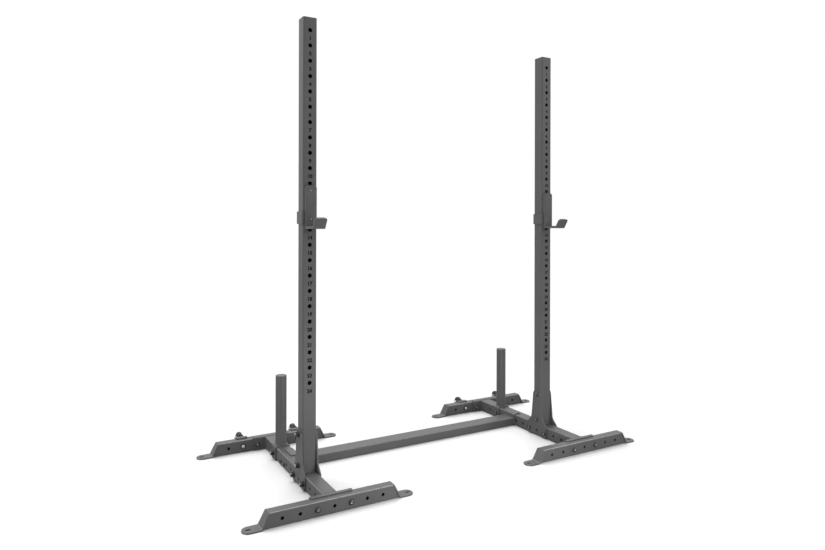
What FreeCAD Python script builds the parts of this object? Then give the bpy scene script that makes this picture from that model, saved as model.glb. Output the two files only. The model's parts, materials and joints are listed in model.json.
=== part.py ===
import FreeCAD, Part
import math
import os
from FreeCAD import Vector

# A pair of squat stand uprights on one base frame. All sizes are in millimetres.
# X runs across the bar, Y runs from the lifter's side to the back, Z is up.
# Y is counted from the front face of the uprights while the pieces are made,
# and the finished pieces are moved so that the origin is the middle of the footprint.

# Steel tube of the uprights and the base tubes
stand_spacing = 1208.0
tube_width = 57.0
tube_wall = 3.0
tube_corner = 6.0
upright_length = 1779.0
cap_thickness = 2.0
cap_plug_depth = 18.0
plug_gap = 0.2

# Rack holes through the front and rear walls of each upright
rack_hole = 17.0
rack_pitch = 60.0
rack_count = 24
first_hole_drop = 49.0
cup_hole_number = 12

# Base tube, lying fore and aft under each upright
base_front_reach = 212.0
base_rear_reach = 495.0
bolt_hole = 13.0
spare_pitch = 55.0
spare_steps = (-3, -2, 0, 2, 3)
spare_rear_gap = 81.5

# Bolted plates on both faces of each upright and base tube
gusset_thickness = 6.0
gusset_top = 224.0
gusset_neck_half = 26.0
gusset_waist_half = 38.0
gusset_waist_z = 86.0
gusset_foot_half = 68.5
gusset_shoulder_drop = 2.0
gusset_floor_gap = 2.0
gusset_scallop = 7.0
gusset_top_bolt_z = 204.0
gusset_mid_bolt_z = 82.0
base_bolt_z = 28.0

# Cross feet with sloping ends and anchor tabs
foot_depth = 41.0
foot_height = 55.0
foot_wall = 3.0
foot_corner = 6.0
foot_top_half = 240.0
foot_bottom_half = 267.0
tab_half = 326.0
tab_thickness = 5.0
tab_overhang = 5.0
tab_bend = 5.0
tab_round_share = 0.47
slot_width = 11.0
slot_length = 20.0
foot_hole_pitch = 64.0
foot_hole_steps = 3
foot_bolt_z = 27.0

# Hooked plates on the ends of the base tubes, bolted to the feet
end_plate_thickness = 5.0
end_plate_half = 81.0
end_plate_lip = 16.0
end_plate_corner = 7.0
sheet_bend = 2.0

# Flat crossmember and its hooked end plates
cross_depth = 75.0
cross_height = 40.0
cross_wall = 3.0
cross_corner = 6.0
cross_place_share = 0.634
cross_plate_thickness = 5.0
cross_plate_half = 44.0
cross_plate_lip = 35.0
cross_bolt_diameter = 10.0
cross_bolt_half_spacing = 24.0
weld_nut_flats = 17.0
weld_nut_height = 8.0

# Plate storage pegs and the saddles that carry them
peg_diameter = 48.0
peg_wall = 3.0
peg_length = 298.0
peg_rear_gap = 140.0
peg_cap_thickness = 4.0
peg_cap_dome = 3.0
saddle_thickness = 5.0
saddle_half = 26.0
saddle_floor_gap = 2.0

# Bar cups that hang on a pin in one rack hole
cup_width = 46.0
cup_lip_width = 50.0
cup_steel = 5.0
cup_gap = 0.4
cup_top_rise = 53.0
cup_bottom_drop = 117.0
cup_reach = 95.0
cup_lip_tilt = 32.0
cup_lip_length = 44.0
cup_bend = 2.0
cup_corner = 7.0
liner_thickness = 10.0
liner_top_step = 2.0
cradle_thickness = 6.0
cradle_lip_step = 2.0
pin_gap = 0.5
pin_past_rear = 7.0
pin_tip = 2.0
running_gap = 0.05
end_gap = 0.3
cup_tab_top_drop = 49.0
cup_tab_height = 49.0
cup_tab_reach = 56.0
screw_diameter = 6.0
screw_head = 9.0
screw_head_depth = 3.4
screw_sink = 0.4
screw_top_rise = 32.0
screw_bottom_drop = 78.5
screw_slot_flats = 4.0
screw_slot_depth = 2.0

# Transport wheels behind the rear feet
wheel_diameter = 50.0
wheel_width = 22.0
wheel_edge = 8.5
wheel_recess = 2.0
wheel_recess_inner = 20.0
wheel_recess_outer = 31.0
wheel_z = 45.0
wheel_back_gap = 4.0
wheel_side_gap = 0.6
wheel_step = 2
wheel_plate_thickness = 5.0
wheel_plate_half = 25.0
wheel_plate_lip = 22.0
wheel_plate_drop = 2.0
ear_thickness = 4.0
ear_end_radius = 12.0
ear_low_z = 22.0
axle_diameter = 8.0
axle_head = 14.0
axle_head_height = 5.0
axle_socket = 5.0
axle_tail = 3.0
axle_nut_flats = 13.0
axle_nut_height = 8.0

# Button head bolts, nuts and washers of the frame
bolt_diameter = 12.0
bolt_head = 21.0
bolt_head_height = 6.5
bolt_socket = 8.0
bolt_socket_depth = 3.5
bolt_tail = 4.0
bolt_tip = 1.0
nut_flats = 18.0
nut_height = 10.0
nut_edge = 1.2
nut_gap = 0.1
washer_diameter = 24.0
washer_thickness = 2.5
hub_bolt_head = 16.0
hub_bolt_head_height = 4.0
hub_bolt_socket = 6.0

overrun = 1.0

# Shares of the size that each one follows
head_round_share = 0.8
neck_round_share = 0.97
slot_round_share = 0.49
ear_round_share = 0.9

tiny = 1e-6

# Heights and faces that several pieces share
base_top = tube_width
upright_top = base_top + upright_length
upright_y = tube_width / 2
first_hole_z = upright_top - first_hole_drop
cup_pin_z = first_hole_z - (cup_hole_number - 1) * rack_pitch
front_foot_rear = -base_front_reach - end_plate_thickness
front_foot_front = front_foot_rear - foot_depth
rear_foot_front = base_rear_reach + end_plate_thickness
rear_foot_rear = rear_foot_front + foot_depth
peg_y = base_rear_reach - peg_rear_gap
gusset_rear = upright_y + gusset_foot_half
cross_y = gusset_rear + (peg_y - saddle_half - gusset_rear) * cross_place_share
wheel_y = rear_foot_rear + wheel_plate_thickness + wheel_back_gap + wheel_diameter / 2
tab_round = (foot_depth + 2 * tab_overhang) * tab_round_share
slot_half = tab_half - foot_depth / 2
bolt_slack = bolt_hole - bolt_diameter
pin_diameter = rack_hole - 2 * pin_gap
footprint_front = front_foot_front - bolt_head_height
footprint_rear = wheel_y + wheel_diameter / 2
footprint_middle = (footprint_front + footprint_rear) / 2


def spot(axis, along, u, v):
    """Point at a distance along one axis, with the other two in X, Y, Z order."""
    if axis == "x":
        return Vector(along, u, v)
    if axis == "y":
        return Vector(u, along, v)
    return Vector(u, v, along)


def slab(axis, low, high, points, radii):
    """Prism of an outline whose corners are rounded by tangent arcs."""
    count = len(points)
    flat = [Vector(u, v, 0) for u, v in points]
    corners = []
    for i, here in enumerate(flat):
        back = (flat[i - 1] - here).normalize()
        ahead = (flat[(i + 1) % count] - here).normalize()
        if radii[i] <= 0:
            corners.append((here, None, here))
            continue
        half = back.getAngle(ahead) / 2
        run = radii[i] / math.tan(half)
        centre = here + (back + ahead).normalize() * (radii[i] / math.sin(half))
        middle = centre + (here - centre).normalize() * radii[i]
        corners.append((here + back * run, middle, here + ahead * run))
    edges = []
    for i, (start, middle, end) in enumerate(corners):
        following = corners[(i + 1) % count][0]
        if middle is not None:
            arc = [spot(axis, low, p.x, p.y) for p in (start, middle, end)]
            edges.append(Part.Arc(*arc).toShape())
        if (following - end).Length > tiny:
            ends = [spot(axis, low, p.x, p.y) for p in (end, following)]
            edges.append(Part.makeLine(*ends))
    face = Part.Face(Part.Wire(edges))
    return face.extrude(spot(axis, high - low, 0, 0))


def block(axis, low, high, centre, size, corner=0):
    """Straight bar of a rectangular section with rounded corners."""
    (u, v), (width, height) = centre, size
    points = [(u - width / 2, v - height / 2), (u + width / 2, v - height / 2),
              (u + width / 2, v + height / 2), (u - width / 2, v + height / 2)]
    return slab(axis, low, high, points, [corner] * len(points))


def tube(axis, low, high, centre, size, wall, corner):
    """Open-ended rectangular tube."""
    inner = (size[0] - 2 * wall, size[1] - 2 * wall)
    core = block(axis, low - overrun, high + overrun, centre, inner, max(corner - wall, 0))
    return block(axis, low, high, centre, size, corner).cut(core)


def rod(axis, low, high, centre, diameter):
    """Round bar along one axis, also used as a drill."""
    start, end = min(low, high), max(low, high)
    seat = spot(axis, start, *centre)
    return Part.makeCylinder(diameter / 2, end - start, seat, spot(axis, 1, 0, 0))


def strip(axis, low, high, path, thickness, bend, side=1):
    """Bent sheet: a path gives one face, and side 1 lays the sheet to its left."""
    line = [Vector(u, v, 0) for u, v in path]
    runs = [(b - a).normalize() for a, b in zip(line, line[1:])]
    normals = [Vector(-run.y, run.x, 0) * side for run in runs]
    near, far, near_radii, far_radii = [line[0]], [line[0] + normals[0] * thickness], [0], [0]
    for i in range(1, len(line) - 1):
        before, after = normals[i - 1], normals[i]
        mitre = (before + after) * (thickness / (1 + before.dot(after)))
        turn = (runs[i - 1].x * runs[i].y - runs[i - 1].y * runs[i].x) * side
        near.append(line[i])
        far.append(line[i] + mitre)
        near_radii.append(bend + thickness if turn > 0 else bend)
        far_radii.append(bend if turn > 0 else bend + thickness)
    near.append(line[-1])
    far.append(line[-1] + normals[-1] * thickness)
    near_radii.append(0)
    far_radii.append(0)
    points = [(p.x, p.y) for p in near + far[::-1]]
    return slab(axis, low, high, points, near_radii + far_radii[::-1])


def drilled(shape, drills):
    return shape.cut(Part.makeCompound(drills))


def mirrored(shape, x):
    return shape.mirror(Vector(x, 0, 0), Vector(1, 0, 0))


def level_edges(shape, z):
    """Edges that lie wholly at one height."""
    return [e for e in shape.Edges
            if abs(e.BoundBox.ZMin - z) < tiny and abs(e.BoundBox.ZMax - z) < tiny]


def edges_across(shape, y):
    """Edges that lie wholly in one plane across Y."""
    return [e for e in shape.Edges
            if abs(e.BoundBox.YMin - y) < tiny and abs(e.BoundBox.YMax - y) < tiny]


def upright_edges(shape, x=None, y=None):
    """Straight vertical edges at a given X or Y."""
    found = []
    for edge in shape.Edges:
        box = edge.BoundBox
        thin = box.XLength < tiny and box.YLength < tiny
        at_x = x is None or abs(box.XMin - x) < tiny
        at_y = y is None or abs(box.YMin - y) < tiny
        if thin and at_x and at_y:
            found.append(edge)
    return found


def aimed(shape, seat, axis, sign):
    """Piece made along +Z from the origin, moved to its seat and turned along an axis."""
    turn = FreeCAD.Rotation(Vector(0, 0, 1), spot(axis, sign, 0, 0))
    shape.Placement = FreeCAD.Placement(seat, turn)
    return shape


def hexagon(flats, low, high):
    corner = flats / math.sqrt(3)
    points = [(corner * math.cos(math.radians(a)), corner * math.sin(math.radians(a)))
              for a in range(0, 360, 60)]
    return slab("z", low, high, points, [0] * len(points))


def bolt(seat, axis, sign, diameter, length, head, head_height, socket, socket_depth):
    """Button head bolt whose head bears at the seat and whose shank runs along the axis."""
    shank = Part.makeCylinder(diameter / 2, length)
    shank = shank.makeChamfer(bolt_tip, level_edges(shank, length))
    cap = Part.makeCylinder(head / 2, head_height, Vector(0, 0, -head_height))
    cap = cap.makeFillet(head_height * head_round_share, level_edges(cap, -head_height))
    recess = hexagon(socket, -head_height - overrun, socket_depth - head_height)
    return aimed(shank.fuse(cap).removeSplitter().cut(recess), seat, axis, sign)


def nut(seat, axis, sign, diameter, flats, height):
    """Hexagon nut with rounded corners on its outer face."""
    blank = Part.makeCylinder(flats / math.sqrt(3), height)
    blank = blank.makeChamfer(nut_edge, level_edges(blank, height))
    bore = Part.makeCylinder(diameter / 2 + nut_gap, height + 2 * overrun, Vector(0, 0, -overrun))
    return aimed(blank.common(hexagon(flats, 0, height)).cut(bore), seat, axis, sign)


def washer(seat, axis, sign):
    ring = Part.makeCylinder(washer_diameter / 2, washer_thickness)
    hole = Part.makeCylinder(bolt_hole / 2, washer_thickness + 2 * overrun, Vector(0, 0, -overrun))
    return aimed(ring.cut(hole), seat, axis, sign)


pieces = {}
frame_nuts = []
frame_washers = []


def keep(name, *solids):
    pieces.setdefault(name, []).extend(solids)


def frame_bolt(node, near, far, centre, axis, sign):
    """Bolt from one outer face to the other, with its washer and nut on the far side."""
    grip = abs(far - near)
    length = grip + washer_thickness + nut_height + bolt_tail
    keep(node, bolt(spot(axis, near, *centre), axis, sign, bolt_diameter, length,
                    bolt_head, bolt_head_height, bolt_socket, bolt_socket_depth))
    frame_washers.append(washer(spot(axis, far, *centre), axis, sign))
    nut_seat = far + sign * washer_thickness
    frame_nuts.append(nut(spot(axis, nut_seat, *centre), axis, sign,
                          bolt_diameter, nut_flats, nut_height))


def make_upright(side, x):
    body = tube("z", base_top, upright_top, (x, upright_y), (tube_width, tube_width),
                tube_wall, tube_corner)
    drills = []
    for i in range(rack_count):
        z = first_hole_z - i * rack_pitch
        drills.append(rod("y", -overrun, tube_width + overrun, (x, z), rack_hole))
    for z in (gusset_top_bolt_z, gusset_mid_bolt_z):
        reach = tube_width / 2 + overrun
        drills.append(rod("x", x - reach, x + reach, (upright_y, z), bolt_hole))
    keep(side + "_upright", drilled(body, drills))
    lid = block("z", upright_top, upright_top + cap_thickness, (x, upright_y),
                (tube_width, tube_width), tube_corner)
    lid = lid.makeFillet(cap_thickness / 2, level_edges(lid, upright_top + cap_thickness))
    bore = tube_width - 2 * tube_wall - 2 * plug_gap
    plug = block("z", upright_top - cap_plug_depth, upright_top, (x, upright_y),
                 (bore, bore), tube_corner - tube_wall)
    keep(side + "_upright_cap", lid.fuse(plug))


def make_base_tube(side, x):
    body = tube("y", -base_front_reach, base_rear_reach, (x, tube_width / 2),
                (tube_width, tube_width), tube_wall, tube_corner)
    reach = tube_width / 2 + overrun
    bolted = [(upright_y - spare_pitch, base_bolt_z), (upright_y + spare_pitch, base_bolt_z),
              (peg_y, base_bolt_z)]
    spare = [(upright_y + step * spare_pitch, base_bolt_z) for step in spare_steps]
    spare.append((base_rear_reach - spare_rear_gap, base_bolt_z))
    drills = [rod("x", x - reach, x + reach, seat, bolt_hole) for seat in bolted + spare]
    for dy in (-cross_bolt_half_spacing, cross_bolt_half_spacing):
        seat = (cross_y + dy, cross_height / 2)
        drills.append(rod("x", x - reach, x + reach, seat, cross_bolt_diameter + bolt_slack))
    keep(side + "_base_tube", drilled(body, drills))


def make_gussets(side, x, out):
    """Waisted plate with a round top, two flared feet and a scalloped lower edge."""
    top, neck, waist, foot = gusset_top, gusset_neck_half, gusset_waist_half, gusset_foot_half
    shoulder = base_top - gusset_shoulder_drop
    low = gusset_floor_gap
    scallop = spare_pitch - nut_flats
    half = [(neck, top), (neck, top - neck), (waist, gusset_waist_z), (foot, shoulder), (foot, low),
            (scallop, low), (scallop - gusset_scallop, low + gusset_scallop)]
    half_radii = [neck * neck_round_share, 0, waist, tube_corner, foot - spare_pitch,
                  gusset_scallop, gusset_scallop]
    points = [(upright_y + u, v) for u, v in half] + [(upright_y - u, v) for u, v in half[::-1]]
    seats = [(upright_y, gusset_top_bolt_z), (upright_y, gusset_mid_bolt_z),
             (upright_y - spare_pitch, base_bolt_z), (upright_y + spare_pitch, base_bolt_z)]
    for name, sign in (("outer", out), ("inner", -out)):
        near = x + sign * tube_width / 2
        far = near + sign * gusset_thickness
        plate = slab("x", min(near, far), max(near, far), points, half_radii + half_radii[::-1])
        reach = (min(near, far) - overrun, max(near, far) + overrun)
        holes = seats + [(upright_y, base_bolt_z)]
        keep(side + "_" + name + "_gusset",
             drilled(plate, [rod("x", *reach, seat, bolt_hole) for seat in holes]))
    reach = tube_width / 2 + gusset_thickness
    for seat in seats:
        frame_bolt("gusset_bolts", x - out * reach, x + out * reach, seat, "x", out)


def foot_slope(z):
    """Half length of a foot at one height, out to the face of its sloping end."""
    return foot_bottom_half - (foot_bottom_half - foot_top_half) * z / foot_height


def make_foot(side, place, x, y_front):
    """Cross foot tube with mitred ends, and the bent end plates that widen below it."""
    y_rear = y_front + foot_depth
    slant = math.hypot(foot_bottom_half - foot_top_half, foot_height) / foot_height
    inset = tab_thickness * slant
    body = tube("x", x - foot_bottom_half, x + foot_bottom_half,
                ((y_front + y_rear) / 2, foot_height / 2), (foot_depth, foot_height),
                foot_wall, foot_corner)
    low, high = foot_slope(-overrun) - inset, foot_slope(foot_height + overrun) - inset
    mitre = [(x - low, -overrun), (x + low, -overrun),
             (x + high, foot_height + overrun), (x - high, foot_height + overrun)]
    body = body.common(slab("y", y_front - overrun, y_rear + overrun, mitre, [0] * len(mitre)))
    drills = []
    for step in range(-foot_hole_steps, foot_hole_steps + 1):
        seat = (x + step * foot_hole_pitch, foot_bolt_z)
        drills.append(rod("y", y_front - overrun, y_rear + overrun, seat, bolt_hole))
    keep(side + "_" + place + "_foot", drilled(body, drills))

    above = foot_height + tab_thickness
    path = [(x + foot_slope(above), above), (x + foot_slope(tab_thickness), tab_thickness),
            (x + tab_half, tab_thickness)]
    wide_front, wide_rear = y_front - tab_overhang, y_rear + tab_overhang
    sheet = strip("y", wide_front, wide_rear, path, tab_thickness, tab_bend, -1)
    inner, outer = x + foot_top_half - 2 * inset, x + tab_half
    plan = [(inner, wide_front), (outer, wide_front), (outer, wide_rear), (inner, wide_rear)]
    sheet = sheet.common(slab("z", 0, foot_height, plan, [0, tab_round, tab_round, 0]))
    flare = [(wide_front, 0), (wide_rear, 0), (wide_rear, tab_thickness), (y_rear, foot_height),
             (y_front, foot_height), (wide_front, tab_thickness)]
    sheet = sheet.common(slab("x", inner, outer, flare, [0, 0, 0, foot_corner, foot_corner, 0]))
    slot = block("z", -overrun, tab_thickness + overrun, (x + slot_half, (y_front + y_rear) / 2),
                 (slot_length, slot_width), slot_width * slot_round_share)
    sheet = sheet.cut(slot)
    keep(side + "_" + place + "_foot_ends", sheet, mirrored(sheet, x))


def hooked_plate(x, y_face, sign, half, low, height, thickness, lip, corner):
    """Upright plate against a foot, bent over the top of it at the height of the foot."""
    path = [(y_face, low), (y_face, height), (y_face - sign * lip, height)]
    plate = strip("x", x - half, x + half, path, thickness, sheet_bend, -sign)
    for edge_x in (x - half, x + half):
        plate = plate.makeFillet(corner, upright_edges(plate, edge_x, y_face - sign * lip))
    return plate


def make_end_plates(side, x):
    """Hooked plates on the base tube's ends, with the two bolts through each foot."""
    ends = (("front", front_foot_rear, 1, front_foot_front, -base_front_reach),
            ("rear", rear_foot_front, -1, base_rear_reach, rear_foot_rear))
    for place, face, sign, near, far in ends:
        plate = hooked_plate(x, face, sign, end_plate_half, 0, foot_height,
                             end_plate_thickness, end_plate_lip, end_plate_corner)
        drills = []
        for step in (-1, 1):
            seat = (x + step * foot_hole_pitch, foot_bolt_z)
            drills.append(rod("y", near - overrun, far + overrun, seat, bolt_hole))
            frame_bolt("foot_bolts", near, far, seat, "y", 1)
        keep(side + "_base_" + place + "_plate", drilled(plate, drills))


def make_peg(side, x, out):
    """Saddle over the base tube, peg tube standing on it and the domed cap of the peg."""
    half, top = tube_width / 2, base_top + saddle_thickness
    path = [(x - half, saddle_floor_gap), (x - half, base_top),
            (x + half, base_top), (x + half, saddle_floor_gap)]
    saddle = strip("y", peg_y - saddle_half, peg_y + saddle_half, path,
                   saddle_thickness, tube_corner)
    reach = half + saddle_thickness
    seat = (peg_y, base_bolt_z)
    keep(side + "_peg_saddle",
         drilled(saddle, [rod("x", x - reach - overrun, x + reach + overrun, seat, bolt_hole)]))
    frame_bolt("peg_bolts", x - out * reach, x + out * reach, seat, "x", out)
    peg_top = top + peg_length
    inner = peg_diameter - 2 * peg_wall
    peg = rod("z", top, peg_top, (x, peg_y), peg_diameter)
    keep(side + "_plate_peg", peg.cut(rod("z", top - overrun, peg_top + overrun, (x, peg_y), inner)))
    lid = rod("z", peg_top, peg_top + peg_cap_thickness, (x, peg_y), peg_diameter)
    lid = lid.makeFillet(peg_cap_dome, level_edges(lid, peg_top + peg_cap_thickness))
    plug = rod("z", peg_top - cap_plug_depth, peg_top, (x, peg_y), inner - 2 * plug_gap)
    keep(side + "_peg_cap", lid.fuse(plug))


def make_crossmember():
    reach = stand_spacing / 2 - tube_width / 2 - cross_plate_thickness
    keep("crossmember", tube("x", -reach, reach, (cross_y, cross_height / 2),
                             (cross_depth, cross_height), cross_wall, cross_corner))


def make_cross_plate(side, x, out):
    """Hooked plate of the crossmember on the inner face of a base tube, with its bolts."""
    face = x - out * tube_width / 2
    path = [(face, 0), (face, base_top), (face + out * cross_plate_lip, base_top)]
    plate = strip("y", cross_y - cross_plate_half, cross_y + cross_plate_half, path,
                  cross_plate_thickness, tube_corner, out)
    lip_end = face + out * cross_plate_lip
    for edge_y in (cross_y - cross_plate_half, cross_y + cross_plate_half):
        plate = plate.makeFillet(end_plate_corner, upright_edges(plate, lip_end, edge_y))
    inside = face - out * cross_plate_thickness
    outer = x + out * tube_width / 2
    drills = []
    for dy in (-cross_bolt_half_spacing, cross_bolt_half_spacing):
        seat = (cross_y + dy, cross_height / 2)
        drills.append(rod("x", min(face, inside) - overrun, max(face, inside) + overrun,
                          seat, cross_bolt_diameter + bolt_slack))
        length = abs(outer - inside) + weld_nut_height + bolt_tip
        keep("crossmember_bolts",
             bolt(spot("x", outer, *seat), "x", -out, cross_bolt_diameter, length,
                  bolt_head * cross_bolt_diameter / bolt_diameter,
                  bolt_head_height * cross_bolt_diameter / bolt_diameter,
                  bolt_socket * cross_bolt_diameter / bolt_diameter,
                  bolt_socket_depth * cross_bolt_diameter / bolt_diameter))
        keep("crossmember_weld_nuts",
             nut(spot("x", inside, *seat), "x", -out, cross_bolt_diameter,
                 weld_nut_flats, weld_nut_height))
    keep(side + "_crossmember_plate", drilled(plate, drills))


def top_cornered(shape, x, width):
    """Piece of a bar cup, with its two top corners cut off as seen from the front."""
    corners = [v.Point for v in shape.Vertexes]
    above = max(p.z for p in corners) + overrun
    ahead, behind = min(p.y for p in corners) - overrun, max(p.y for p in corners) + overrun
    tip, cut = width / 2 + overrun, cup_corner + 2 * overrun
    wedges = []
    for sign in (-1, 1):
        outline = [(x + sign * tip, above), (x + sign * (tip - cut), above),
                   (x + sign * tip, above - cut)]
        wedges.append(slab("y", ahead, behind, outline, [0] * len(outline)))
    return drilled(shape, wedges)


def cup_path(face_y, floor_z, reach, lip_length, top_z):
    """Inside of a bar cup seen from its side: back, floor and the lip that leans forward."""
    tilt = math.radians(cup_lip_tilt)
    lip_y = face_y - reach - lip_length * math.sin(tilt)
    return [(face_y, top_z), (face_y, floor_z), (face_y - reach, floor_z),
            (lip_y, floor_z + lip_length * math.cos(tilt))]


def make_cup(side, x):
    """Bar cup: bent steel hook with its side tab, two plastic liners, screws and pin."""
    back = -cup_gap
    front = back - cup_steel
    top = cup_pin_z + cup_top_rise
    bottom = cup_pin_z - cup_bottom_drop
    floor = bottom + cup_steel
    hook = strip("x", x - cup_width / 2, x + cup_width / 2,
                 cup_path(front, floor, cup_reach + front, cup_lip_length, top),
                 cup_steel, cup_bend)
    widen = strip("x", x - cup_lip_width / 2, x + cup_lip_width / 2,
                  cup_path(front, floor, cup_reach + front, cup_lip_length, top),
                  cup_steel, cup_bend)
    lip_zone = block("x", x - cup_lip_width, x + cup_lip_width,
                     (-cup_reach - cup_lip_length, bottom + cup_lip_length),
                     (2 * cup_lip_length, 2 * cup_lip_length))
    lip = top_cornered(widen.common(lip_zone), x, cup_lip_width)
    hook = top_cornered(hook.cut(lip_zone), x, cup_width).fuse(lip).removeSplitter()
    tab_high = cup_pin_z - cup_tab_top_drop
    tab_low = tab_high - cup_tab_height
    tab_face = x - tube_width / 2 - cup_gap
    tab = strip("z", tab_low, tab_high,
                [(x, back), (tab_face, back), (tab_face, cup_tab_reach)], cup_steel, cup_gap, 1)
    hook = hook.fuse(tab).removeSplitter()
    drills = [rod("y", front - overrun, back + overrun, (x, cup_pin_z),
                  pin_diameter + 2 * running_gap)]
    screw_seats = [(x, cup_pin_z + screw_top_rise), (x, cup_pin_z - screw_bottom_drop)]
    drills += [rod("y", front - overrun, back + overrun, seat, screw_diameter)
               for seat in screw_seats]
    keep(side + "_cup_hook", drilled(hook, drills))
    return back, front, top, floor, screw_seats


def make_cup_liners(side, x, back, front, top, floor, screw_seats):
    face = front - liner_thickness
    foot = floor + cradle_thickness
    liner = block("y", face, front, (x, (foot + top - liner_top_step) / 2),
                  (cup_width, top - liner_top_step - foot))
    liner = top_cornered(liner, x, cup_width)
    liner = liner.makeFillet(cup_bend, edges_across(liner, face))
    drills = []
    for seat in screw_seats:
        drills.append(rod("y", face - overrun, front + overrun, seat, screw_diameter))
        drills.append(rod("y", face - overrun, face + screw_sink + screw_head_depth,
                          seat, screw_head + 2 * nut_gap))
        screw = rod("y", face + screw_sink, back, seat, screw_diameter)
        head = rod("y", face + screw_sink, face + screw_sink + screw_head_depth, seat, screw_head)
        recess = aimed(hexagon(screw_slot_flats, -overrun, screw_slot_depth),
                       spot("y", face + screw_sink, *seat), "y", 1)
        keep(side + "_cup_screws", screw.fuse(head).removeSplitter().cut(recess))
    keep(side + "_cup_back_liner", drilled(liner, drills))
    start = front - cup_bend
    path = cup_path(start, floor, cup_reach + start, cup_lip_length - cradle_lip_step, foot)
    cradle = strip("x", x - cup_width / 2, x + cup_width / 2, path[1:], cradle_thickness,
                   cup_bend, -1)
    keep(side + "_cup_cradle_liner", top_cornered(cradle, x, cup_width))


def make_cup_pin(side, x, front):
    rear = tube_width + pin_past_rear
    pin = rod("y", front + end_gap, rear, (x, cup_pin_z), pin_diameter)
    pin = pin.makeChamfer(pin_tip, edges_across(pin, rear))
    keep(side + "_cup_pin", pin)


def make_wheel(side, name, x):
    """Transport wheel on an axle bolt between the ears of its hooked bracket."""
    face = rear_foot_rear + wheel_plate_thickness
    plate = hooked_plate(x, rear_foot_rear, 1, wheel_plate_half, wheel_plate_drop, foot_height,
                         wheel_plate_thickness, wheel_plate_lip, end_plate_corner)
    inner = wheel_width / 2 + wheel_side_gap
    outer = inner + ear_thickness
    ear_end, ear_top = wheel_y + ear_end_radius, foot_height + wheel_plate_thickness - sheet_bend
    profile = [(face - wheel_plate_thickness / 2, ear_low_z), (ear_end, wheel_z - ear_end_radius),
               (ear_end, wheel_z + ear_end_radius), (face - wheel_plate_thickness / 2, ear_top)]
    radii = [0, ear_end_radius * ear_round_share, ear_end_radius * ear_round_share, 0]
    for low, high in ((inner, outer), (-outer, -inner)):
        plate = plate.fuse(slab("x", x + low, x + high, profile, radii))
    plate = plate.removeSplitter()
    centre = (wheel_y, wheel_z)
    bolt_seat = (x, foot_bolt_z)
    drills = [rod("x", x - outer - overrun, x + outer + overrun, centre, axle_diameter + nut_gap),
              rod("y", rear_foot_rear - overrun, face + overrun, bolt_seat, bolt_diameter + nut_gap)]
    keep(side + "_" + name + "_wheel_bracket", drilled(plate, drills))

    wheel = rod("x", x - wheel_width / 2, x + wheel_width / 2, centre, wheel_diameter)
    wheel = wheel.makeFillet(wheel_edge, [e for e in wheel.Edges if e.BoundBox.XLength < tiny])
    for end in (-1, 1):
        side_x = x + end * wheel_width / 2
        span = (side_x - end * wheel_recess, side_x + end * overrun)
        ring = rod("x", *span, centre, wheel_recess_outer).cut(
            rod("x", *span, centre, wheel_recess_inner))
        wheel = wheel.cut(ring)
    bore = rod("x", x - wheel_width, x + wheel_width, centre, axle_diameter + 2 * running_gap)
    keep(side + "_" + name + "_wheel", wheel.cut(bore))

    length = 2 * outer + axle_nut_height + axle_tail
    keep("wheel_axle_bolts",
         bolt(spot("x", x - outer, *centre), "x", 1, axle_diameter, length, axle_head,
              axle_head_height, axle_socket, bolt_socket_depth * axle_diameter / bolt_diameter))
    keep("wheel_axle_nuts",
         nut(spot("x", x + outer, *centre), "x", 1, axle_diameter, axle_nut_flats,
             axle_nut_height))
    frame_washers.append(washer(spot("y", rear_foot_front, *bolt_seat), "y", -1))
    under_head = rear_foot_front - washer_thickness
    keep("wheel_bracket_bolts",
         bolt(spot("y", under_head, *bolt_seat), "y", 1, bolt_diameter,
              face - under_head, hub_bolt_head, hub_bolt_head_height,
              hub_bolt_socket, bolt_socket_depth * hub_bolt_head / bolt_head))


def make_stand(side, x, out):
    """One upright with everything that belongs to it. out is +1 or -1, away from the bar."""
    make_upright(side, x)
    make_base_tube(side, x)
    make_gussets(side, x, out)
    make_foot(side, "front", x, front_foot_front)
    make_foot(side, "rear", x, rear_foot_front)
    make_end_plates(side, x)
    make_peg(side, x, out)
    make_cross_plate(side, x, out)
    back, front, top, floor, screw_seats = make_cup(side, x)
    make_cup_liners(side, x, back, front, top, floor, screw_seats)
    make_cup_pin(side, x, front)
    for name, sign in (("outer", out), ("inner", -out)):
        make_wheel(side, name, x + sign * wheel_step * foot_hole_pitch)


def main():
    os.makedirs("parts", exist_ok=True)
    make_crossmember()
    make_stand("left", -stand_spacing / 2, -1)
    make_stand("right", stand_spacing / 2, 1)
    keep("frame_nuts", *frame_nuts)
    keep("frame_washers", *frame_washers)
    for name, solids in pieces.items():
        shape = solids[0] if len(solids) == 1 else Part.makeCompound(solids)
        shape.translate(Vector(0, -footprint_middle, 0))
        shape.exportStep("parts/" + name + ".step")
    print(len(pieces), "nodes")


main()
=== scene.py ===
import json
import math
import bmesh
import bpy
from mathutils import Matrix, Vector


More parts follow.
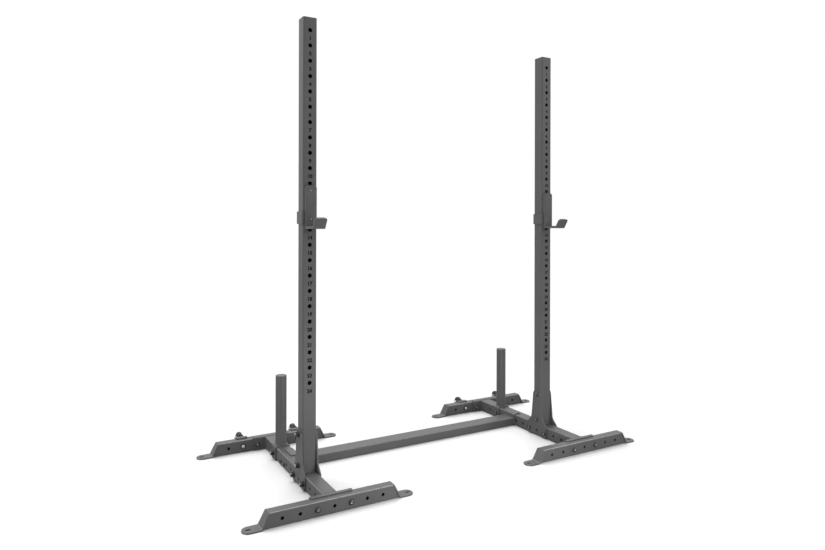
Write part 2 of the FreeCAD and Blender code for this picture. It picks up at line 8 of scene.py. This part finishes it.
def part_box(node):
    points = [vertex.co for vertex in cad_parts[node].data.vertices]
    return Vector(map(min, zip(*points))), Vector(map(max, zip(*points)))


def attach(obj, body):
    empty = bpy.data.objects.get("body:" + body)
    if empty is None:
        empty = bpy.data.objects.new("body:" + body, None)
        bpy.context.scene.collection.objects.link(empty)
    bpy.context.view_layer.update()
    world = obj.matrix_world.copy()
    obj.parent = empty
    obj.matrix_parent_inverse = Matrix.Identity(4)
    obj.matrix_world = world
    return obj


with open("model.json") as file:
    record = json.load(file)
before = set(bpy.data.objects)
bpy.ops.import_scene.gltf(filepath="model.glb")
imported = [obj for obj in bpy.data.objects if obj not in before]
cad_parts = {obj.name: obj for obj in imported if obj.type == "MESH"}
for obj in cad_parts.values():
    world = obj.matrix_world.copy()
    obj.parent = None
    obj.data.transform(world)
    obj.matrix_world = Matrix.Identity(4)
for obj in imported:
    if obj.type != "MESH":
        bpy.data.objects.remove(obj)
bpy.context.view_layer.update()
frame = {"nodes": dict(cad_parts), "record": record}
nodes = frame["nodes"]
print("frame loaded:", len(nodes), "nodes")

shot = {
    "place": (-1.4777, -2.5195, 1.0339),
    "turn": (90.0, -0.12, -29.58),  # degrees
    "lens": 27.64,
    "sensor": 36.0,
    "shiftY": -0.0632,
    "reach": 200.0,
}


def makeCamera():
    data = bpy.data.cameras.new("shotCamera")
    data.lens = shot["lens"]
    data.sensor_width = shot["sensor"]
    data.shift_y = shot["shiftY"]
    data.clip_end = shot["reach"]
    camera = bpy.data.objects.new("shotCamera", data)
    camera.location = shot["place"]
    camera.rotation_euler = [math.radians(a) for a in shot["turn"]]
    bpy.context.scene.collection.objects.link(camera)
    bpy.context.scene.camera = camera


makeCamera()
print("camera made")


# A shader value that takes part in ordinary sums
class Value:
    def __init__(self, shader, socket):
        self.shader = shader
        self.socket = socket

    def sum(self, operation, *values):
        return self.shader.node("ShaderNodeMath", {"operation": operation}, dict(enumerate(values)))

    def __add__(self, other):
        return self.sum("ADD", self, other)

    def __sub__(self, other):
        return self.sum("SUBTRACT", self, other)

    def __rsub__(self, other):
        return self.sum("SUBTRACT", other, self)

    def __mul__(self, other):
        return self.sum("MULTIPLY", self, other)

    def __gt__(self, other):
        return self.sum("GREATER_THAN", self, other)

    def limited(self):
        return self.shader.node("ShaderNodeClamp", {}, {"Value": self})

    __radd__ = __add__
    __rmul__ = __mul__


class Shader:
    def __init__(self, name):
        self.material = bpy.data.materials.new(name)
        self.material.use_nodes = True
        self.tree = self.material.node_tree
        self.tree.nodes.clear()

    # Settings are set first, then values or links go to the sockets
    def node(self, kind, settings=None, sockets=None, output=0):
        made = self.tree.nodes.new(kind)
        for key, value in (settings or {}).items():
            if key == "stops":
                self.setStops(made.color_ramp, value)
            else:
                setattr(made, key, value)
        for key, value in (sockets or {}).items():
            socket = made.inputs[key]
            if isinstance(value, Value):
                self.tree.links.new(value.socket, socket)
            elif socket.type == "RGBA":
                socket.default_value = (*value, 1.0)
            else:
                socket.default_value = value
        return Value(self, made.outputs[output]) if made.outputs else None

    def setStops(self, ramp, stops):
        while len(ramp.elements) < len(stops):
            ramp.elements.new(0.5)
        for element, (place, colour) in zip(ramp.elements, stops):
            element.position = place
            element.color = (*colour, 1.0)

    # Place on the object, stretched where that is given
    def where(self, stretch=(1.0, 1.0, 1.0)):
        point = self.node("ShaderNodeTexCoord", output=3)
        return self.node("ShaderNodeMapping", {}, {"Vector": point, "Scale": stretch})

    def noise(self, where, scale, detail=2.0):
        return self.node("ShaderNodeTexNoise", {}, {"Vector": where, "Scale": scale, "Detail": detail})

    def ramp(self, value, low, high, first, last):
        stops = [(low, first), (high, last)]
        return self.node("ShaderNodeValToRGB", {"stops": stops}, {"Fac": value})

    def blend(self, factor, first, last):
        return self.node("ShaderNodeMix", {"data_type": "RGBA"}, {0: factor, 6: first, 7: last}, 2)

    def bump(self, height, strength, distance, under=None):
        sockets = {"Height": height, "Strength": strength, "Distance": distance}
        if under:
            sockets["Normal"] = under
        return self.node("ShaderNodeBump", {}, sockets)

    def close(self, sockets):
        surface = self.node("ShaderNodeBsdfPrincipled", {}, sockets)
        self.node("ShaderNodeOutputMaterial", {}, {"Surface": surface})
        return self.material


coatLook = {"dark": (0.088, 0.088, 0.090), "light": (0.104, 0.104, 0.106), "roughness": 0.42, "gloss": 0.25,
            "cloud": 7.0, "peel": 420.0, "grain": 1500.0, "depth": 0.00008}
# How light the painted highlight along the round corners is, and at which slants: 1.0 is square to an axis,
# 1.41 is 45 degrees
cornerHighlights = {
    "patch": 60.0,
    "tube": {"colour": (0.25, 0.25, 0.255), "slants": (1.37, 1.46)},
    "foot": {"colour": (0.42, 0.42, 0.425), "slants": (1.37, 1.46)},
    "sheet": {"colour": (0.30, 0.30, 0.305), "slants": (1.388, 1.46)},
}


# Fine-grained semi-matte powder coat, with a highlight painted lighter along round corners where that is
# given
def makeCoat(name, look, highlight=None):
    s = Shader(name)
    where = s.where()
    cloud = s.noise(where, look["cloud"], 3.0)
    peel = s.noise(where, look["peel"], 2.0)
    grain = s.noise(where, look["grain"], 1.0)
    tone = cloud * 0.55 + grain * 0.45
    colour = s.ramp(tone, 0.36, 0.64, look["dark"], look["light"])
    if highlight:
        normal = s.node("ShaderNodeTexCoord", output=1)
        facing = s.node("ShaderNodeVectorMath", {"operation": "ABSOLUTE"}, {0: normal})
        slant = s.node("ShaderNodeVectorMath", {"operation": "DOT_PRODUCT"},
                       {0: facing, 1: (1.0, 1.0, 1.0)}, 1)
        patch = s.noise(where, cornerHighlights["patch"], 2.0)
        low, high = highlight["slants"]
        # Painted highlight: base colour turns lighter where the normal slants near 45 degrees, in noise
        # patches
        corner = (slant > low) * (high - slant > 0.0)
        colour = s.blend(corner * patch, colour, highlight["colour"])
    return s.close({
        "Base Color": colour,
        "Roughness": peel * 0.12 + cloud * 0.08 + (look["roughness"] - 0.1),
        "Normal": s.bump(peel * 0.7 + grain * 0.3, 0.3, look["depth"]),
        "Specular IOR Level": look["gloss"],
    })


oxideLook = {"dark": (0.035, 0.035, 0.036), "light": (0.062, 0.062, 0.064), "roughness": 0.22, "metal": 0.4,
             "cloud": 90.0, "grain": 1300.0, "depth": 0.00008}


# Dark oxide on the fasteners that show no socket or thread
def makeOxide(name, look):
    s = Shader(name)
    where = s.where()
    cloud = s.noise(where, look["cloud"], 3.0)
    grain = s.noise(where, look["grain"], 2.0)
    return s.close({
        "Base Color": s.ramp(cloud * 0.7 + grain * 0.3, 0.35, 0.65, look["dark"], look["light"]),
        "Metallic": look["metal"],
        "Roughness": grain * 0.16 + (look["roughness"] - 0.08),
        "Normal": s.bump(grain, 0.2, look["depth"]),
    })


# Steel for the bare threads and for the glint painted in the sockets; socket is the glint's radius
brightSteelLook = {"dark": (0.20, 0.20, 0.205), "light": (0.62, 0.63, 0.64), "thread": 0.00175, "depth": 0.0004,
            "socket": 0.0046}
screwLook = {**brightSteelLook, "socket": 0.0026}
# The places along the bolts that are past their nuts, and the middles of their sockets, where a glint is
# painted
bolts = {
    "sideNuts": ((-1.0, -0.6508), (0.6508, 1.0)),
    "sideSockets": ((0, -0.13925, 0.204), (0, -0.13925, 0.082), (0, -0.19425, 0.028), (0, -0.08425, 0.028),
                    (0, 0.18725, 0.028)),
    "footNuts": ((-0.3671, 0.0), (0.3858, 1.0)),
    "footSockets": [(x, 0, 0.027) for x in (-0.668, -0.54, 0.54, 0.668)],
    "screwSockets": [(x, 0, z) for x in (-0.604, 0.604) for z in (1.159, 1.0485)],
}


# Oxide bolts, bare steel on the threads past their nuts, and a painted glint of bright steel in the middles
# of their sockets
def makeBolt(name, look, brightSteel, direction, pastNuts, sockets):
    s = Shader(name)
    place = s.where()
    cloud = s.noise(place, look["cloud"], 3.0)
    grain = s.noise(place, look["grain"], 2.0)
    axis = "XYZ".index(direction)
    along = s.node("ShaderNodeSeparateXYZ", {}, {0: place}, axis)
    past = sum((along > start) * (end - along > 0.0) for start, end in pastNuts)
    flat = s.where([0.0 if i == axis else 1.0 for i in range(3)])
    away = [s.node("ShaderNodeVectorMath", {"operation": "DISTANCE"}, {0: flat, 1: socket}, 1)
            for socket in sockets]
    # Painted glint: bright steel within the socket radius of each socket's middle, added to the bare threads
    lightened = sum(brightSteel["socket"] - distance > 0.0 for distance in away)
    lightened = (lightened + past).limited()
    turns = s.node("ShaderNodeTexWave", {"bands_direction": direction},
                   {"Vector": place, "Scale": math.pi / (10.0 * brightSteel["thread"])}, 1)
    steel = s.ramp(turns * past + grain * (1.0 - past), 0.2, 0.8, brightSteel["dark"], brightSteel["light"])
    dark = s.ramp(cloud * 0.7 + grain * 0.3, 0.35, 0.65, look["dark"], look["light"])
    return s.close({
        "Base Color": s.blend(lightened, dark, steel),
        "Metallic": lightened * (1.0 - look["metal"]) + look["metal"],
        "Roughness": grain * 0.16 + (look["roughness"] - 0.08),
        "Normal": s.bump(turns * past, 0.6, brightSteel["depth"], s.bump(grain, 0.2, look["depth"])),
    })


zincLook = {"dark": (0.42, 0.43, 0.44), "light": (0.72, 0.73, 0.74), "roughness": 0.3,
            "blotch": 160.0, "brushed": 700.0, "stretch": 6.0, "depth": 0.00006}


# Bright zinc with the faint blotches of plating
def makeZinc(name, look):
    s = Shader(name)
    blotch = s.noise(s.where(), look["blotch"], 3.0)
    brushed = s.noise(s.where((1.0, 1.0, look["stretch"])), look["brushed"], 2.0)
    return s.close({
        "Base Color": s.ramp(blotch, 0.3, 0.7, look["dark"], look["light"]),
        "Metallic": 1.0,
        "Roughness": brushed * 0.15 + blotch * 0.1 + (look["roughness"] - 0.12),
        "Normal": s.bump(brushed, 0.15, look["depth"]),
    })


capLook = {"dark": (0.085, 0.085, 0.087), "light": (0.105, 0.105, 0.107), "roughness": 0.5, "gloss": 0.4,
           "texture": 900.0}
rubberLook = {"dark": (0.018, 0.018, 0.019), "light": (0.032, 0.032, 0.033), "roughness": 0.58, "gloss": 0.4,
              "texture": 1200.0}
numberLook = {"dark": (0.006, 0.006, 0.006), "light": (0.012, 0.012, 0.012), "roughness": 0.6, "gloss": 0.08,
              "texture": 1600.0}
plastic = {"cloud": 30.0, "depth": 0.00012}


# Moulded plastic, rubber or paint with a fine texture
def makePlastic(name, look):
    s = Shader(name)
    where = s.where()
    pits = s.noise(where, look["texture"], 2.0)
    cloud = s.noise(where, plastic["cloud"], 2.0)
    return s.close({
        "Base Color": s.ramp(pits * 0.4 + cloud * 0.6, 0.35, 0.65, look["dark"], look["light"]),
        "Roughness": pits * 0.14 + (look["roughness"] - 0.07),
        "Normal": s.bump(pits, 0.25, plastic["depth"]),
        "Specular IOR Level": look["gloss"],
    })


linerLook = {"dark": (0.082, 0.082, 0.084), "light": (0.106, 0.106, 0.108), "roughness": 0.52, "gloss": 0.25,
             "scuff": (0.15, 0.15, 0.152), "texture": 800.0, "scuffs": 26.0, "stretch": (1.2, 30.0, 60.0),
             "patch": 24.0, "depth": 0.0001}


# Dense liner plastic with light scuffs where a bar slides along it
def makeLiner(name, look):
    s = Shader(name)
    where = s.where()
    pits = s.noise(where, look["texture"], 2.0)
    scuffs = s.noise(s.where(look["stretch"]), look["scuffs"], 3.0)
    patch = s.noise(where, look["patch"], 2.0)
    base = s.ramp(pits * 0.5 + patch * 0.5, 0.35, 0.65, look["dark"], look["light"])
    lightened = (scuffs - 0.56) * 5.0 * patch
    return s.close({
        "Base Color": s.blend(lightened.limited(), base, look["scuff"]),
        "Roughness": pits * 0.14 + (look["roughness"] - 0.07),
        "Normal": s.bump(pits * 0.6 + scuffs * 0.4, 0.25, look["depth"]),
        "Specular IOR Level": look["gloss"],
    })


coat = makeCoat("charcoalPowderCoat", coatLook)
tubeCoat = makeCoat("tubePowderCoat", coatLook, cornerHighlights["tube"])
footCoat = makeCoat("footPowderCoat", coatLook, cornerHighlights["foot"])
sheetCoat = makeCoat("sheetPowderCoat", coatLook, cornerHighlights["sheet"])
oxide = makeOxide("darkOxide", oxideLook)
sideBolt = makeBolt("sideBoltSteel", oxideLook, brightSteelLook, "X", bolts["sideNuts"], bolts["sideSockets"])
footBolt = makeBolt("footBoltSteel", oxideLook, brightSteelLook, "Y", bolts["footNuts"], bolts["footSockets"])
cupScrew = makeBolt("cupScrewSteel", oxideLook, screwLook, "Y", (), bolts["screwSockets"])
zinc = makeZinc("brightZinc", zincLook)
capPlastic = makePlastic("capPlastic", capLook)
liner = makeLiner("linerPlastic", linerLook)
rubber = makePlastic("wheelRubber", rubberLook)
numberPaint = makePlastic("numberPaint", numberLook)

slotLooks = {
    "charcoal_powder_coat": coat,
    "black_oxide_steel": oxide,
    "zinc_plated_steel": zinc,
    "black_plastic": capPlastic,
    "charcoal_liner_plastic": liner,
    "wheel_rubber": rubber,
}
for part in frame["record"]["subparts"]:
    for holder in nodes[part["node"]].material_slots:
        holder.material = slotLooks[part["material_slot"]]
ownLooks = {"gusset_bolts": sideBolt, "peg_bolts": sideBolt, "foot_bolts": footBolt, "crossmember": tubeCoat}
for side in ("left_", "right_"):
    ownLooks[side + "cup_screws"] = cupScrew
    ownLooks[side + "base_tube"] = tubeCoat
    ownLooks[side + "crossmember_plate"] = sheetCoat
    for end in ("front", "rear"):
        ownLooks[side + end + "_foot"] = footCoat
        ownLooks[side + end + "_foot_ends"] = sheetCoat
        ownLooks[side + "base_" + end + "_plate"] = sheetCoat
for name, material in ownLooks.items():
    for holder in nodes[name].material_slots:
        holder.material = material
print("materials made")


# Makes a piece of a bmesh, with its place in its mesh
def finishPiece(shape, name, body, material, sharpAngle=35.0):
    bmesh.ops.recalc_face_normals(shape, faces=shape.faces)
    mesh = bpy.data.meshes.new(name)
    shape.to_mesh(mesh)
    shape.free()
    mesh.materials.append(material)
    mesh.polygons.foreach_set("use_smooth", [True] * len(mesh.polygons))
    mesh.set_sharp_from_angle(angle=math.radians(sharpAngle))
    piece = bpy.data.objects.new(name, mesh)
    bpy.context.scene.collection.objects.link(piece)
    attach(piece, body)


numbers = {"size": 0.0196, "drop": 0.0322, "firstHole": 1.787, "pitch": 0.06, "count": 24,
           "bold": 0.0011, "thickness": 0.0001}


# Plain numbers under the rack holes, 1 at the top
def makeNumbers(side):
    low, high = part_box(side + "_upright")
    x, face = (low.x + high.x) / 2, low.y
    joined = bmesh.new()
    for count in range(numbers["count"]):
        text = bpy.data.curves.new("number", "FONT")
        text.body = str(count + 1)
        text.size = numbers["size"]
        text.offset = numbers["bold"]
        text.extrude = numbers["thickness"]
        text.resolution_u = 3  # finer curves fill some bold figures wrongly
        text.align_x = "CENTER"
        text.align_y = "CENTER"
        holder = bpy.data.objects.new("number", text)
        bpy.context.scene.collection.objects.link(holder)
        bpy.context.view_layer.update()
        mesh = bpy.data.meshes.new_from_object(holder)
        z = numbers["firstHole"] - count * numbers["pitch"] - numbers["drop"]
        mesh.transform(Matrix.Translation((x, face, z)) @ Matrix.Rotation(math.radians(90), 4, "X"))
        joined.from_mesh(mesh)
        bpy.data.objects.remove(holder)
        bpy.data.meshes.remove(mesh)
    bmesh.ops.remove_doubles(joined, verts=joined.verts, dist=1e-6)
    finishPiece(joined, side + "_hole_numbers", "frame", numberPaint)


for side in ("left", "right"):
    makeNumbers(side)
print("numbers made")

# Each ripple of a bead has three rings, and a bead stays its inset away from the tube's corners
weld = {"width": 0.0042, "pitch": 0.0028, "sides": 8, "rings": 3, "ripple": 0.13, "inset": 0.005}


# A weld bead along a line, as rings that swell and shrink
def layBead(shape, start, end):
    run = end - start
    count = max(4, round(run.length / weld["pitch"])) * weld["rings"]
    turn = run.to_track_quat("Z", "Y").to_matrix().to_4x4()
    ring = bmesh.ops.create_circle(shape, cap_ends=True, segments=weld["sides"],
                                   radius=weld["width"] / 2, matrix=Matrix.Translation(start) @ turn)
    edges = {e for v in ring["verts"] for e in v.link_edges}
    swell = 1.0
    for i in range(count):
        made = bmesh.ops.extrude_edge_only(shape, edges=list(edges))["geom"]
        verts = [g for g in made if isinstance(g, bmesh.types.BMVert)]
        edges = {g for g in made if isinstance(g, bmesh.types.BMEdge) and all(v in verts for v in g.verts)}
        bmesh.ops.translate(shape, verts=verts, vec=run / count)
        wanted = 1.0 + weld["ripple"] * (1.0 if i % weld["rings"] == 0 else -0.6)
        here = start + run * ((i + 1) / count)
        bmesh.ops.scale(shape, verts=verts, vec=(wanted / swell,) * 3, space=Matrix.Translation(-here))
        swell = wanted
    bmesh.ops.contextual_create(shape, geom=list(edges))


# A weld bead around a round post
def layRing(shape, centre, radius):
    steps = round(2 * math.pi * radius / weld["pitch"]) * weld["rings"]
    seat = Matrix.Translation(centre + Vector((radius, 0, 0))) @ Matrix.Rotation(math.radians(90), 4, "X")
    ring = bmesh.ops.create_circle(shape, segments=weld["sides"], radius=weld["width"] / 2, matrix=seat)
    edges = list({e for v in ring["verts"] for e in v.link_edges})
    bmesh.ops.spin(shape, geom=ring["verts"] + edges, cent=centre, axis=(0, 0, 1), angle=2 * math.pi,
                   steps=steps, use_merge=True)


# Beads up both sides of a tube's end and over its top
def layFrame(shape, first, last, top):
    inset = weld["inset"]
    inward = (last - first).normalized() * inset
    foot, head, over = (Vector((0, 0, z)) for z in (inset, top - inset, top))
    layBead(shape, first + foot, first + head)
    layBead(shape, last + foot, last + head)
    layBead(shape, first + inward + over, last - inward + over)


def makeWelds():
    shape = bmesh.new()
    for side in ("left", "right"):
        low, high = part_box(side + "_base_tube")
        for y in (low.y, high.y):
            layFrame(shape, Vector((low.x, y, 0)), Vector((high.x, y, 0)), high.z)
        low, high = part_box("crossmember")
        x = low.x if side == "left" else high.x
        layFrame(shape, Vector((x, low.y, 0)), Vector((x, high.y, 0)), high.z)
        low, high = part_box(side + "_plate_peg")
        centre = Vector(((low.x + high.x) / 2, (low.y + high.y) / 2, low.z))
        layRing(shape, centre, (high.x - low.x) / 2)
    finishPiece(shape, "weld_beads", "frame", coat, 60.0)


makeWelds()
print("welds made")

light = {
    "sky": 0.8,  # even light from all round
    "top": {"from": (0.05, 0.5, 1.0), "power": 1.9, "spread": 55.0},
    "front": {"from": (0.75, -1.0, 0.35), "power": 0.4, "spread": 9.0},
    "left": {"place": (-2.0, 0.6, 2.9), "aim": (-0.6, -0.1, 1.7), "size": 1.0, "power": 17.0},
    "low": {"place": (0.0, -1.15, 0.12), "aim": (0.0, -0.42, 0.03), "size": 0.5, "power": 6.5},
    "side": {"place": (-1.9, -0.3, 0.14), "aim": (-0.63, -0.05, 0.03), "size": 0.5, "power": 3.0},
}


# Broad light from one direction, with the spread of a large soft box
def makeSun(name, look):
    data = bpy.data.lights.new(name, "SUN")
    data.energy = look["power"]
    data.angle = math.radians(look["spread"])
    lamp = bpy.data.objects.new(name, data)
    lamp.rotation_euler = Vector(look["from"]).to_track_quat("Z", "Y").to_euler()
    bpy.context.scene.collection.objects.link(lamp)


# Square lamp close by, whose light fades along the object
def makeLamp(name, look):
    data = bpy.data.lights.new(name, "AREA")
    data.size = look["size"]
    data.energy = look["power"]
    lamp = bpy.data.objects.new(name, data)
    lamp.visible_camera = False
    lamp.location = look["place"]
    aim = Vector(look["aim"]) - lamp.location
    lamp.rotation_euler = aim.to_track_quat("-Z", "Y").to_euler()
    bpy.context.scene.collection.objects.link(lamp)


# The camera sees white all round, and the object gets the even light of the sky
def makeWorld():
    world = bpy.data.worlds.new("paleRoom")
    world.use_nodes = True
    bpy.context.scene.world = world
    links, made = world.node_tree.links, world.node_tree.nodes
    made.clear()
    path = made.new("ShaderNodeLightPath")
    seen = path.outputs["Is Camera Ray"]
    for kind in ("Is Glossy Ray", "Is Transmission Ray"):
        either = made.new("ShaderNodeMath")
        either.operation = "ADD"
        either.use_clamp = True
        links.new(seen, either.inputs[0])
        links.new(path.outputs[kind], either.inputs[1])
        seen = either.outputs[0]
    plain = made.new("ShaderNodeBackground")
    plain.inputs["Strength"].default_value = light["sky"]
    white = made.new("ShaderNodeBackground")
    for sky in (plain, white):
        sky.inputs["Color"].default_value = (1, 1, 1, 1)
    mix = made.new("ShaderNodeMixShader")
    links.new(seen, mix.inputs[0])
    links.new(plain.outputs[0], mix.inputs[1])
    links.new(white.outputs[0], mix.inputs[2])
    out = made.new("ShaderNodeOutputWorld")
    links.new(mix.outputs[0], out.inputs["Surface"])


# Half a side of the floor, its tone for the camera, and its tone as it lights the object from below
ground = {"size": 60.0, "seen": 0.74, "bounce": 0.36}


def makeFloor():
    shape = bmesh.new()
    bmesh.ops.create_grid(shape, x_segments=1, y_segments=1, size=ground["size"])
    mesh = bpy.data.meshes.new("floor")
    shape.to_mesh(mesh)
    shape.free()
    s = Shader("paleFloor")
    seen = s.node("ShaderNodeLightPath")
    tone = s.blend(seen, (ground["bounce"],) * 3, (ground["seen"],) * 3)
    matte = s.node("ShaderNodeBsdfDiffuse", {}, {"Color": tone})
    s.node("ShaderNodeOutputMaterial", {}, {"Surface": matte})
    mesh.materials.append(s.material)
    floor = bpy.data.objects.new("floor", mesh)
    bpy.context.scene.collection.objects.link(floor)


makeWorld()
makeFloor()
makeSun("topSun", light["top"])
makeSun("frontSun", light["front"])
makeLamp("leftLamp", light["left"])
makeLamp("lowLamp", light["low"])
makeLamp("sideLamp", light["side"])
bpy.context.scene.view_settings.view_transform = "Standard"
print("stage made")
